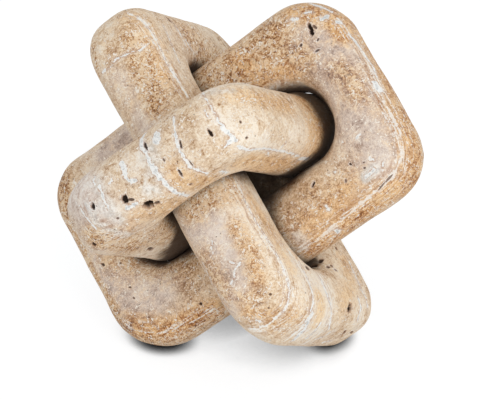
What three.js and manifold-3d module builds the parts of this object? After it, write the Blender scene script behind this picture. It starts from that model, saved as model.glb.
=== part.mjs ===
// A knot of three interlocked stone links, in millimetres, +Z up.
// Each link is a flat closed loop with two long bars and two end bars of well rounded section.
// The links lie square to one another: each passes through one neighbour's hole
// and holds the other neighbour in its own. The knot stands on one corner of each link.
import * as THREE from "three";
import { mergeVertices } from "three/addons/utils/BufferGeometryUtils.js";
import Module from "manifold-3d";

const wasm = await Module();
wasm.setup();

// Sizes of the links
// thickness, sideBar and endBar are the sections of the bars: a link has two long side bars
// and two short end bars, and its hole is as large as the link that passes through it needs.
// endRooms are the spaces at the hole's two ends, first the one towards +length.
// edgeRadius rounds the bars. holeRelief is how much larger the hole's corners are rounded
// than the edges of the link that passes through it.
// cornerRadii go round the outline, from the corner at +length, +width to the one at -width.
const faceLink = {
  name: "face_link",
  thickness: 38,
  sideBar: 41.5,
  endBar: 33.5,
  endRooms: [6.3, 2.7],
  edgeRadius: 16.5,
  holeRelief: 3,
  cornerRadii: [27.5, 33.5, 25.5, 31.5],
  colour: 0xc8a683,
};

const crossLink = {
  name: "cross_link",
  thickness: 39,
  sideBar: 41,
  endBar: 37.5,
  endRooms: [1.5, 2],
  edgeRadius: 14.5,
  holeRelief: -1.5,
  cornerRadii: [30, 32, 31.5, 31],
  colour: 0xdcc8b2,
};

const uprightLink = {
  name: "upright_link",
  thickness: 41.5,
  sideBar: 42.5,
  endBar: 37.5,
  endRooms: [1.2, 2.4],
  edgeRadius: 15.5,
  holeRelief: 1,
  cornerRadii: [25, 26.5, 26, 40.5],
  colour: 0xd8bb98,
};

// Fits and stance
// SIDE_SEAT is the gap between a bar's flat side and the side of the hole that it lies in.
// LEAST_FLAT is the least flat that the rounded edges leave on a bar.
// FOOT_DEPTH is how deep the three lowest corners are worn flat.
// FACE_HEADING is how far the face link's normal points to the right of straight back.
const SIDE_SEAT = 0.3;
const LEAST_FLAT = 0.5;
const FOOT_DEPTH = 0.6;
const FACE_HEADING = THREE.MathUtils.degToRad(30.8);

// How finely the curves are divided
const CORNER_STEPS = 10;
const EDGE_STEPS = 5;
const STANCE_PASSES = 20;

const X = new THREE.Vector3(1, 0, 0);
const Y = new THREE.Vector3(0, 1, 0);
const Z = new THREE.Vector3(0, 0, 1);

// The directions of each link's length, width and thickness in the knot,
// and the link that passes through its hole.
Object.assign(faceLink, { axes: [X, Y, Z], through: crossLink });
Object.assign(crossLink, { axes: [Z, X, Y], through: uprightLink });
Object.assign(uprightLink, { axes: [Y, Z, X], through: faceLink });
const links = [faceLink, crossLink, uprightLink];

function holeWidth(link) {
  return link.through.thickness + 2 * SIDE_SEAT;
}

function linkWidth(link) {
  return holeWidth(link) + 2 * link.sideBar;
}

function holeLength(link) {
  return linkWidth(link.through) + link.endRooms[0] + link.endRooms[1];
}

function linkLength(link) {
  return holeLength(link) + 2 * link.endBar;
}

// How far a link lies off the middle of the knot, along its own length.
function linkShift(link) {
  return (link.endRooms[0] - link.endRooms[1]) / 2;
}

// The rounding of a link's bars, which leaves a flat on the thinnest of them.
function edgeOf(link) {
  const thinnest = Math.min(link.thickness, link.sideBar, link.endBar);
  return Math.min(link.edgeRadius, (thinnest - LEAST_FLAT) / 2);
}

// The four corner arcs of a rounded rectangle, going round from the corner at +x, +y.
function cornerArcs(length, width, radii) {
  const quadrants = [
    [1, 1],
    [-1, 1],
    [-1, -1],
    [1, -1],
  ];
  return quadrants.map(([sideX, sideY], quadrant) => ({
    sideX,
    sideY,
    radius: radii[quadrant],
    x: sideX * (length / 2 - radii[quadrant]),
    y: sideY * (width / 2 - radii[quadrant]),
    start: (quadrant * Math.PI) / 2,
  }));
}

// Points round a rounded rectangle, each with the direction that points out of it.
function outlinePoints(arcs) {
  return arcs.flatMap((arc) =>
    Array.from({ length: CORNER_STEPS + 1 }, (_, step) => {
      const angle = arc.start + (step / CORNER_STEPS) * (Math.PI / 2);
      const out = new THREE.Vector2(Math.cos(angle), Math.sin(angle));
      return { out, point: new THREE.Vector2(arc.x, arc.y).addScaledVector(out, arc.radius) };
    }),
  );
}

// The corners of the outline are rounded at least as much as the bars are.
function outerArcs(link) {
  const radii = link.cornerRadii.map((radius) => Math.max(radius, edgeOf(link)));
  return cornerArcs(linkLength(link), linkWidth(link), radii);
}

function holeArcs(link) {
  const width = holeWidth(link);
  const radius = Math.min(edgeOf(link.through) + link.holeRelief, width / 2);
  return cornerArcs(holeLength(link), width, Array(4).fill(radius));
}

// One ring of the surface: over the outer edge, the front, the hole's side and the back.
function sectionRing(link, outer, hole) {
  const edge = edgeOf(link);
  const flat = link.thickness / 2 - edge;
  const quarters = [
    { from: outer, inwards: -1, side: 1, turn: (share) => share },
    { from: hole, inwards: 1, side: 1, turn: (share) => 1 - share },
    { from: hole, inwards: 1, side: -1, turn: (share) => share },
    { from: outer, inwards: -1, side: -1, turn: (share) => 1 - share },
  ];
  return quarters.flatMap(({ from, inwards, side, turn }) =>
    Array.from({ length: EDGE_STEPS + 1 }, (_, step) => {
      const angle = turn(step / EDGE_STEPS) * (Math.PI / 2);
      const inset = edge * (1 - Math.cos(angle));
      const place = from.point.clone().addScaledVector(from.out, inwards * inset);
      return [place.x, place.y, side * (flat + edge * Math.sin(angle))];
    }),
  );
}

// The whole loop in the link's own axes, as one closed surface with shared points.
function linkGeometry(link) {
  const outer = outlinePoints(outerArcs(link));
  const hole = outlinePoints(holeArcs(link));
  const rings = outer.map((point, station) => sectionRing(link, point, hole[station]));
  const around = rings[0].length;
  const at = (station, place) => (station % rings.length) * around + (place % around);
  const index = [];
  for (let station = 0; station < rings.length; station++) {
    for (let place = 0; place < around; place++) {
      const near = at(station, place);
      const ahead = at(station + 1, place);
      const across = at(station + 1, place + 1);
      const beside = at(station, place + 1);
      index.push(near, ahead, across, near, across, beside);
    }
  }
  const geometry = new THREE.BufferGeometry();
  geometry.setAttribute("position", new THREE.Float32BufferAttribute(rings.flat(2), 3));
  geometry.setIndex(index);
  return geometry;
}

// The point of a link that reaches furthest in a direction, both in the knot's axes.
function furthestPoint(link, direction) {
  const [along, across, through] = link.axes.map((axis) => axis.dot(direction));
  const arc = outerArcs(link).find((a) => a.sideX * along > 0 && a.sideY * across > 0);
  const edge = edgeOf(link);
  const reach = (arc.radius - edge) / Math.hypot(along, across) + edge;
  const flat = Math.sign(through) * (link.thickness / 2 - edge);
  return new THREE.Vector3()
    .addScaledVector(link.axes[0], linkShift(link) + arc.x + along * reach)
    .addScaledVector(link.axes[1], arc.y + across * reach)
    .addScaledVector(link.axes[2], flat + through * edge);
}

// The knot's down direction, in its own axes, when the lowest corner of every link
// touches the ground. Each pass lays the ground on the corners found by the last one.
function restingDown() {
  let down = new THREE.Vector3(-1, 1, 1).normalize();
  for (let pass = 0; pass < STANCE_PASSES; pass++) {
    const [first, second, third] = links.map((link) => furthestPoint(link, down));
    const normal = second.sub(first).cross(third.sub(first)).normalize();
    down = normal.multiplyScalar(Math.sign(normal.dot(down)));
  }
  return down;
}

// Turns the knot's axes so that it stands on its corners with the face link to the front.
function standingTurn(down) {
  const up = down.clone().negate();
  const back = Z.clone().projectOnPlane(up).normalize().applyAxisAngle(up, FACE_HEADING);
  const right = back.clone().cross(up);
  return new THREE.Matrix4().makeBasis(right, back, up).transpose();
}

// A closed geometry as a solid that can be cut, and a solid as a geometry again.
function solidFrom(geometry) {
  const bare = geometry.clone();
  bare.deleteAttribute("normal");
  bare.deleteAttribute("uv");
  const merged = mergeVertices(bare);
  const vertProperties = new Float32Array(merged.attributes.position.array);
  const triVerts = new Uint32Array(merged.index.array);
  return new wasm.Manifold(new wasm.Mesh({ numProp: 3, vertProperties, triVerts }));
}

function geometryFrom(solid) {
  const mesh = solid.getMesh();
  const geometry = new THREE.BufferGeometry();
  geometry.setAttribute("position", new THREE.BufferAttribute(mesh.vertProperties, 3));
  geometry.setIndex(new THREE.BufferAttribute(mesh.triVerts, 1));
  geometry.computeVertexNormals();
  return geometry;
}

// A block under the ground plane, wide enough to reach below the whole knot.
function groundBlock(height) {
  const side = 2 * Math.max(...links.map(linkLength));
  return new THREE.BoxGeometry(side, side, side).translate(0, 0, height - side / 2);
}

function linkMesh(link) {
  const material = new THREE.MeshStandardMaterial({
    color: link.colour,
    roughness: 0.72,
    metalness: 0,
  });
  const mesh = new THREE.Mesh(linkGeometry(link), material);
  mesh.name = link.name;
  mesh.setRotationFromMatrix(new THREE.Matrix4().makeBasis(...link.axes));
  mesh.position.copy(link.axes[0]).multiplyScalar(linkShift(link));
  return mesh;
}

// Takes off what a mesh has below a height, with the cut made in the mesh's own axes.
function wearFlat(mesh, height) {
  const ground = groundBlock(height).applyMatrix4(mesh.matrixWorld.clone().invert());
  mesh.geometry = geometryFrom(solidFrom(mesh.geometry).subtract(solidFrom(ground)));
}

const knot = new THREE.Group();
knot.name = "stone_knot";
knot.add(...links.map(linkMesh));
knot.setRotationFromMatrix(standingTurn(restingDown()));
knot.updateMatrixWorld(true);

const lowest = new THREE.Box3().setFromObject(knot, true).min.z;
knot.children.forEach((mesh) => wearFlat(mesh, lowest + FOOT_DEPTH));

// The origin is under the middle of the knot's box, on the ground.
const box = new THREE.Box3().setFromObject(knot, true);
const middle = box.getCenter(new THREE.Vector3());
knot.position.set(-middle.x, -middle.y, -box.min.z);

export default knot;
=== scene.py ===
"""A travertine knot of three interlocked links, dressed over its fixed frame.

Each link is a worn, pitted stone body grown from its frame node. The beds and the fine
pattern are one in space and run through all three links. Fills, stains and the pits that
the photograph shows lie where it shows them. Pits on the unseen sides are strewn at random.
"""

import math
from collections import namedtuple

import bmesh
import bpy
import numpy as np
from mathutils import Matrix, Vector
from mathutils.bvhtree import BVHTree


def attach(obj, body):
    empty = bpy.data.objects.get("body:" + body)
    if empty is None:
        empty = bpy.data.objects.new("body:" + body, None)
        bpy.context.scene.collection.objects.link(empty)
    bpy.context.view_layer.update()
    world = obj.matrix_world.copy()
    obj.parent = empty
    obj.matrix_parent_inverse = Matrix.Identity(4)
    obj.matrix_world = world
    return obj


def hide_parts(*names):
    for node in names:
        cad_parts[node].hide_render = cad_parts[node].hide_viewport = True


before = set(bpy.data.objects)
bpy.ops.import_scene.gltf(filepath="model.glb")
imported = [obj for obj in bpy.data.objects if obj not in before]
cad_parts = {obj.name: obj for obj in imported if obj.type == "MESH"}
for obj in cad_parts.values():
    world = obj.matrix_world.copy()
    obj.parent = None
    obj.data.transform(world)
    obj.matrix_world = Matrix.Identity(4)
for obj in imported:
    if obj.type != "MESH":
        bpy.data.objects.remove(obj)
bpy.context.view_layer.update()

bl_info = {
    "name": "Travertine knot",
    "version": (1, 0, 0),
    "blender": (4, 5, 0),
    "location": "3D View > Sidebar > Travertine knot",
    "description": "Carves three interlocked stone links with pits, veins and bedding",
    "category": "Object",
}

# Units: lengths are metres, but the marks' own sizes and names that end in _MM are
# millimetres. Places in the photograph and names that end in _PX are its pixels.
MM = 0.001
BODY = "root"
FACE, CROSS, UPRIGHT = "face_link", "cross_link", "upright_link"
SLOTS = {FACE: "tan_travertine", CROSS: "cream_travertine", UPRIGHT: "beige_travertine"}
SEED = 11

# The camera that the photograph's outline was fitted with
PICTURE = (480, 400)
SENSOR = 36 * MM
PIXEL = SENSOR / PICTURE[0]
LENS = 160.47 * MM
CAMERA_PLACE = (0.00268, -0.98172, 0.70854)
CAMERA_DROP = math.radians(32.9625)
CAMERA_ROLL = math.radians(-0.855)
CLIP_START = 0.05

# The lamps, all aimed at one spot, and the floor, which shows as white. Close under the knot the
# floor has a
# painted shadow: at each reach, how far stone hides the sky from the floor darkens its colour and
# glow, and the span is the open sky over which it clears.
LAMP_PLACES = {"key": (0.7, -1.0, 0.7), "fill": (0.0, -1.1, 0.8)}
LAMP_AIM = (0, 0, 0.09)
LAMP_SIDE = 0.9
SEEN_RAYS = ("Is Camera Ray", "Is Glossy Ray", "Is Transmission Ray")
PAINTED_SHADOW_REACHES = {12 * MM: (0.06, 0.56), 50 * MM: (0.05, 0.52)}
NOOK_SAMPLES = 32
FLOOR_COLOUR = 0.8
SEEN_FLOOR_COLOUR = 0.27
SEEN_FLOOR_GLOW = (0.80, 0.81, 0.82, 1)

# Screen colours of the stone by its tone, from the darkest specks to the palest
TONES = (0.14, 0.31, 0.47, 0.63, 0.82)
NEUTRAL = ((106, 70, 42), (162, 120, 80), (206, 177, 144), (230, 209, 180), (243, 234, 218))
BLUSHED = ((114, 92, 80), (164, 142, 128), (204, 187, 175), (225, 213, 203), (238, 233, 227))
RUSTED = ((90, 56, 30), (146, 97, 54), (194, 148, 100), (219, 186, 144), (238, 224, 202))

# Each link's mean tone, and how much oxide, blush and ochre it has all over
BIASES = {
    FACE: {"tone": 0.54, "oxide": 0.25, "blush": 0.2, "ochre": 0.16},
    CROSS: {"tone": 0.58, "oxide": 0.12, "blush": 0.22, "ochre": 0.16},
    UPRIGHT: {"tone": 0.57, "oxide": 0.16, "blush": 0.16, "ochre": 0.16},
}

# The stone's noises: the size of their lumps in millimetres, detail, roughness, distortion
NOISES = {
    "clouds": (24, 2),
    "patches": (7, 4, 0.6, 1.0),
    "mottle": (2.6, 3, 0.65),
    "crumbs": (1.1, 3, 0.7),
    "grain": (0.5, 1),
}

# How thick and strong each pale bed is, by its height over the knot's middle
Bed = namedtuple("Bed", "height half_thickness strength")
BEDS = (
    Bed(-50.4, 0.6, 1.0),
    Bed(-34.0, 0.6, 0.9),
    Bed(-13.8, 0.55, 0.75),
    Bed(9.5, 0.4, 0.7),
    Bed(27.0, 0.6, 0.8),
    Bed(46.0, 0.5, 0.85),
    Bed(71.5, 0.5, 0.7),
    Bed(88.0, 0.4, 0.8),
)
RUST_LEAD_MM = 2.4

# Between a path's pixels, PATH_STEP_PX apart, more are looked through. The beds rise to
# where a bed line shows within LIFT_REACH of it, against a pull of LIFT_LEVEL back to flat,
# and show within VEIN_REACH. FAR_MM is the distance to a fill where none is near.
PATH_STEP_PX = 5.0
LIFT_REACH = 9 * MM
LIFT_LEVEL = 0.25
VEIN_REACH = 3 * MM
FAR_MM = 6.0

# A seen pit's way on the stone is found over AXIS_STEP_PX to each side, and the slope
# draws it out by MOST_DRAWN at most. Hidden pits lie where the stone turns away from the
# camera by TURNED_AWAY and is over HIDDEN_FLOOR. The larger SMALL_PITS is, the more of them
# are small. They follow the beds, unless these cut the face at less than LEAST_AXIS.
# PIT_WIDTHS are shares of a hidden pit's length, PIT_DEPTHS of its width, and PIT_RIMS how
# white its rim is. Each edge near a pit or a fill is cut at FINE_CUTS places.
AXIS_STEP_PX = 3.0
MOST_DRAWN = 2.4
LEAST_PIT, LARGEST_PIT = 0.5 * MM, 2.6 * MM
SMALL_PITS = 2.2
TURNED_AWAY = -0.15
HIDDEN_FLOOR = 2 * MM
LEAST_AXIS = 0.2
PIT_WIDTHS = (0.35, 0.8)
PIT_DEPTHS = (1.0, 1.8)
PIT_RIMS = (0, 0.8)
PICKS_PER_PIT = 4
FINE_CUTS = 2

# The levels of noise over which the worn hollows and the soft beds set in. BED_SCALE is
# that of the beds' noise, per metre, and BED_THINNESS draws it thin. A pit's edge wanders
# by two noises, each with a scale and a swing, and its wall runs over PIT_WALL of its size.
# The wear grows from none on the floor to all of it at FLOOR_RISE, and leaves the feet flat.
FLOOR_RISE = 4 * MM
HOLLOWS = (0.28, 0.72)
SOFT_BEDS = (0.4, 0.62)
BED_SCALE = 40.0
BED_THINNESS = 9.0
PIT_EDGES = ((1300.0, 0.8), (520.0, 1.2))
PIT_WALL = (1.2, 0.55)

# Rays that each point sends out evenly, to find how shut in it is by other stone, which sets the
# painted shade
CREVICE_RAYS = 30
CREVICE_REACH = 45 * MM
CREVICE_START = 0.8 * MM
CREVICE_BLUR = 10
GOLDEN_ANGLE = math.pi * (3 - 5**0.5)

# Pits that the photograph shows: the pixel, half the length and width, the turn in
# degrees, the depth, and how white the rim is
Pit = namedtuple("Pit", "x y long wide turn depth rim")
PITS = {
    "black hollow below the middle": Pit(149.8, 204.7, 2.8, 2.0, -14, 5.0, 0.3),
    "tail of the black hollow": Pit(157.5, 203.0, 1.3, 0.7, -30, 1.2, 0.3),
    "hollow over the white comma": Pit(124.4, 199.8, 2.2, 1.6, 70, 2.4, 0.5),
    "right end of the comma hollow": Pit(131.0, 199.6, 1.5, 0.7, 0, 1.2, 0.5),
    "pit on the left end": Pit(92.4, 206.3, 1.6, 1.0, 65, 1.8, 0.8),
    "speck under the left end": Pit(117.4, 218.8, 0.8, 0.6, 0, 0.9, 0.3),
    "pit on the lower flank": Pit(93.5, 245.3, 1.1, 0.8, 20, 1.6, 0.1),
    "pit by the dark gap": Pit(151.0, 249.5, 1.3, 0.6, 15, 1.2, 0.1),
    "upper slit of the left vein": Pit(144.6, 145.5, 2.3, 0.7, 66, 1.5, 0.9),
    "slit of the right vein": Pit(180.2, 143.9, 2.3, 0.5, 73, 1.2, 0.7),
    "lower slit of the right vein": Pit(190.8, 164.0, 1.5, 0.4, 50, 1.0, 0.7),
    "slit between the veins": Pit(180.0, 173.4, 2.4, 0.6, 58, 1.3, 0.9),
    "speck below the veins": Pit(191.1, 185.1, 0.8, 0.5, -40, 0.9, 0.4),
    "small slit between the veins": Pit(163.5, 159.7, 1.1, 0.4, 60, 0.8, 0.6),
    "broken pit left of the cream": Pit(209.8, 132.3, 2.0, 0.8, 55, 1.8, 0.2),
    "dot in the cream": Pit(240.9, 121.7, 0.7, 0.5, 60, 1.0, 0.0),
    "second dot in the cream": Pit(247.0, 138.0, 0.7, 0.6, 0, 1.0, 0.0),
    "long pit by the top corner": Pit(310.6, 29.0, 3.4, 1.2, 74, 2.2, 0.5),
    "step beside the long pit": Pit(314.5, 26.5, 1.8, 0.7, 40, 1.0, 0.3),
    "ringed pit below the top": Pit(300.8, 45.2, 1.0, 0.7, -40, 1.2, 0.9),
    "second ringed pit": Pit(317.0, 50.6, 1.6, 0.6, -30, 1.1, 1.0),
    "third ringed pit": Pit(317.6, 39.4, 0.9, 0.5, -60, 1.0, 0.8),
    "dark pit on the lower bar": Pit(312.9, 184.3, 1.4, 0.6, -68, 1.9, 0.8),
    "dot on the lower bar": Pit(350.0, 164.2, 0.8, 0.6, 30, 1.3, 0.7),
    "second dot on the lower bar": Pit(364.3, 167.8, 0.7, 0.5, 0, 1.0, 0.6),
    "third dot on the lower bar": Pit(363.6, 162.4, 0.5, 0.4, 0, 0.7, 0.4),
    "drop on the lower bar": Pit(345.4, 180.7, 1.0, 0.5, 80, 0.7, 0.7),
    "crack in the rim vein": Pit(389.5, 178.5, 2.9, 0.5, -47, 0.8, 0.4),
    "lower crack in the rim vein": Pit(381.5, 187.0, 2.4, 0.45, -50, 0.8, 0.4),
    "ragged ledge by the low crossing": Pit(314.0, 265.0, 2.2, 0.8, -12, 1.8, 0.2),
    "second hollow of the ledge": Pit(321.0, 260.0, 1.3, 0.9, -50, 1.6, 0.3),
    "third hollow of the ledge": Pit(328.5, 266.0, 1.0, 0.6, 20, 1.3, 0.4),
    "fourth hollow of the ledge": Pit(308.0, 267.5, 1.0, 0.6, 0, 1.3, 0.2),
    "pit at the lower left": Pit(102.4, 264.6, 1.0, 0.7, 30, 1.3, 0.2),
    "rusty speck at the lower left": Pit(120.2, 262.7, 0.7, 0.5, 0, 0.7, 0.0),
    "speck on the lower left bar": Pit(129.6, 287.3, 0.8, 0.5, 0, 0.9, 0.1),
    "second speck on the lower left bar": Pit(133.5, 298.0, 0.7, 0.5, 30, 0.8, 0.2),
    "third speck on the lower left bar": Pit(148.3, 317.2, 0.6, 0.5, 0, 0.8, 0.1),
    "pit by the low crossing": Pit(200.7, 304.2, 0.9, 0.7, 60, 1.4, 0.2),
    "pit on the upper lobe": Pit(169.6, 19.2, 1.3, 0.9, 30, 1.8, 0.3),
    "speck on the upper lobe": Pit(169.4, 78.4, 0.5, 0.4, 0, 0.7, 0.0),
    "black pit at the lower right": Pit(350.4, 308.0, 2.1, 1.3, 80, 3.2, 0.1),
    "slit at the lower right": Pit(344.6, 333.0, 1.3, 0.5, -60, 1.2, 0.2),
    "second slit at the lower right": Pit(352.2, 333.4, 0.9, 0.5, 80, 1.0, 0.3),
    "dot on the middle of the lower arm": Pit(270.2, 294.8, 0.7, 0.6, 40, 1.0, 0.1),
    "second dot on the lower arm": Pit(268.6, 308.4, 0.5, 0.4, 0, 0.7, 0.1),
    "small pit near the inner corner": Pit(337.0, 248.0, 0.7, 0.5, 30, 1.0, 0.1),
    "second pit near the inner corner": Pit(332.0, 265.0, 0.9, 0.5, 20, 1.0, 0.2),
    "white lipped pit near the inner corner": Pit(336.0, 269.5, 0.8, 0.4, 20, 0.8, 0.8),
}

# Stretches filled with calcite: half the width, and the pixels that they run through
Fill = namedtuple("Fill", "half_width path")
FILLS = {
    "left vein": Fill(1.05, (
        (146.8, 128.5), (141, 138), (140.6, 144.5), (145.5, 152.5), (150.4, 164),
        (159.1, 175.8), (167.8, 187.2), (177.6, 194), (188.4, 196.5),
    )),
    "bulge of the left vein": Fill(1.5, ((152.5, 167), (160, 178))),
    "right vein": Fill(0.7, (
        (172.1, 110.8), (173.4, 121.7), (175.4, 135.8), (178.6, 149), (184.1, 158.5),
        (190.5, 167.8), (199.3, 170.8), (207.8, 174.2),
    )),
    "blob above the left vein": Fill(2.2, ((156, 134.6), (156.6, 140.6))),
    "top of the bent fill": Fill(1.5, ((121.4, 163), (123.4, 168))),
    "bent fill": Fill(1.0, ((123.6, 168), (125.4, 177), (128.2, 180.6), (135.4, 180.8))),
    "white comma": Fill(1.1, ((126.4, 208.6), (131.5, 206.6), (136.6, 203.4))),
    "upper edge of the cream": Fill(0.3, (
        (202.5, 92.5), (205.5, 98.5), (211, 107), (215.8, 115), (219, 122), (224.5, 127),
    )),
    "broad edge of the cream": Fill(1.1, ((222.5, 128), (229.5, 134), (236, 141))),
    "chip left of the cream": Fill(0.4, ((204.5, 110), (207, 116))),
    "drop of the cream edge": Fill(0.8, ((232, 139), (225.5, 147))),
    "lower edge of the cream": Fill(0.7, (
        (238, 146), (249.3, 150.8), (265, 149.3), (279, 151.2), (290, 153.4), (299, 156.6),
    )),
    "twig of the cream edge": Fill(0.4, ((279.5, 150.8), (283.5, 146.4), (287, 142))),
    "drip of the cream edge": Fill(0.45, ((268.4, 150.5), (269.2, 155.8))),
    "pale patch by the hole": Fill(1.5, ((300.5, 159), (307.5, 159.6))),
    "pale streak on the lower edge": Fill(0.9, ((221, 171.8), (228, 173.4), (237.5, 176.4))),
    "white of the arm's line": Fill(0.25, (
        (240, 184), (246, 203), (256, 220), (262, 229), (272, 244.5), (284, 267), (290, 289),
        (288, 304), (281, 316),
    )),
    "white of the second line": Fill(0.5, (
        (299, 261), (307, 277), (312, 291), (313.5, 303), (310, 316), (302, 328),
    )),
    "foot of the second line": Fill(1.1, ((312.4, 314), (305, 330), (294, 341))),
    "crust below the second line": Fill(0.7, ((321, 324), (315, 332), (307, 339))),
    "white of the third line": Fill(0.6, (
        (322, 280), (327, 291), (331, 303), (332.4, 313), (329, 330),
    )),
    "white of the lobe's vein": Fill(0.25, (
        (136, 15), (148.5, 27.6), (157, 39), (162.5, 54), (169, 67), (180, 83),
    )),
    "arc on the left end": Fill(0.45, ((94.8, 176.4), (92.9, 180), (94.4, 184))),
    "second arc on the left end": Fill(0.4, ((111, 177), (110.8, 181), (108.4, 184))),
    "white lip of the left pit": Fill(0.6, ((90.6, 203), (92.8, 209.4))),
    "grey streak on the left end": Fill(0.7, ((99, 186), (103, 197), (108, 208))),
    "pale arc on the left end": Fill(0.4, ((78.5, 206), (84, 216), (96, 230))),
    "white chip by the top corner": Fill(1.3, ((322.6, 18.8), (327.4, 15.6))),
    "second chip by the top corner": Fill(0.9, ((291, 18.8), (296.6, 18.6))),
    "third chip by the top corner": Fill(0.8, ((306, 12.6), (310.6, 11.6))),
    "white rim of the top corner": Fill(0.8, ((311, 2.8), (318, 5), (326, 8), (331.5, 11))),
    "pale patch right of the top corner": Fill(1.0, ((337, 21.5), (342, 22))),
    "white knot in the rim": Fill(2.0, ((375.5, 83.6), (379.4, 89))),
    "upper strand of the rim vein": Fill(0.7, (
        (349, 33), (356, 41), (361.5, 49), (367, 58), (373, 66), (377, 76),
    )),
    "white speck on the lower bar": Fill(0.6, ((326, 206.5), (328.5, 209.5))),
    "pale patch on the lower bar": Fill(0.9, ((374, 170), (366, 177))),
    "pale spot above the patch": Fill(0.7, ((370, 158), (373, 159))),
    "pale streak above the patch": Fill(0.5, ((383.2, 162), (382.4, 171.5))),
    "edge line of the arm": Fill(0.2, ((201.5, 263), (211, 283), (221.5, 302), (231.5, 317))),
    "first streak of the lobe's side": Fill(0.4, ((164, 26), (172, 44), (180, 62))),
    "second streak of the lobe's side": Fill(0.35, ((176, 26), (184, 40), (188, 50))),
    "third streak of the lobe's side": Fill(0.35, ((186, 40), (194, 52), (196, 60))),
    "first streak at the lower right": Fill(0.4, ((350, 262), (357, 278), (363, 290))),
    "second streak at the lower right": Fill(0.8, ((359, 298), (362, 308), (358, 320))),
    "third streak at the lower right": Fill(0.7, ((316, 340), (324, 337), (330, 333))),
    "fourth streak at the lower right": Fill(0.6, ((322, 343), (332, 341))),
    "grey knot on the lower rim": Fill(1.3, ((336, 230.6), (338.2, 232.6))),
    "small speck on the lower bar": Fill(0.5, ((333.9, 171.3), (334.9, 171.9))),
    "speck by the hole's lower end": Fill(0.5, ((342, 141.9), (343, 142.5))),
    "slanting speck on the right": Fill(0.5, ((356.3, 138.3), (359.4, 133.8))),
    "crack on the upper lobe": Fill(0.32, (
        (102.6, 72.4), (108, 69), (112, 66), (115, 59.6), (120, 57.2), (127, 54.2),
        (133, 51.4), (140, 50), (145, 46.4),
    )),
    "hook on the lower arm": Fill(0.4, ((212, 242), (210.8, 248), (212.2, 254))),
    "pale net on the lower arm": Fill(0.35, (
        (239.6, 262.4), (234.6, 268.6), (233.6, 275.6), (230.6, 284.6),
    )),
    "second strand of the net": Fill(0.3, ((227.6, 260.6), (234, 263.6), (240.4, 264.8))),
    "dash low on the arm": Fill(0.6, ((256, 320.8), (261, 321.6))),
    "pale line on the far side": Fill(0.5, ((361.6, 289), (366.6, 297), (369, 308))),
}

# Where the photograph shows one of the pale beds: its height, and the pixels along it
BedLine = namedtuple("BedLine", "height path")
BED_LINES = {
    "rim vein of the face link": BedLine(-13.8, (
        (342, 22), (352, 36), (362, 50), (371, 66), (378, 86), (385.5, 106), (392.4, 117.3),
        (398.5, 126), (403.6, 138), (404.5, 152), (400.9, 165), (389.3, 177.5), (377, 192),
        (362.5, 201.5), (343.5, 219.5), (321.4, 236), (304, 251.5),
    )),
    "upper lobe vein": BedLine(-50.4, (
        (134, 14), (149, 27.4), (156.5, 38), (160.5, 46), (164.4, 60), (174.4, 74.6), (186, 92),
    )),
    "white line of the lower arm": BedLine(-50.4, (
        (239, 181), (243, 196), (249, 209), (260, 226), (271.4, 243), (284, 268), (290.6, 290),
        (288, 305), (281, 316), (268, 328), (254, 332),
    )),
    "second line of the lower arm": BedLine(-34.0, (
        (274, 236), (296, 257), (307, 276), (313.5, 298), (311, 313), (303, 328), (289, 341),
    )),
    "third line of the lower arm": BedLine(-13.8, (
        (322, 275), (328, 288), (333, 304), (330, 320), (322, 334), (306, 345),
    )),
}
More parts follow.
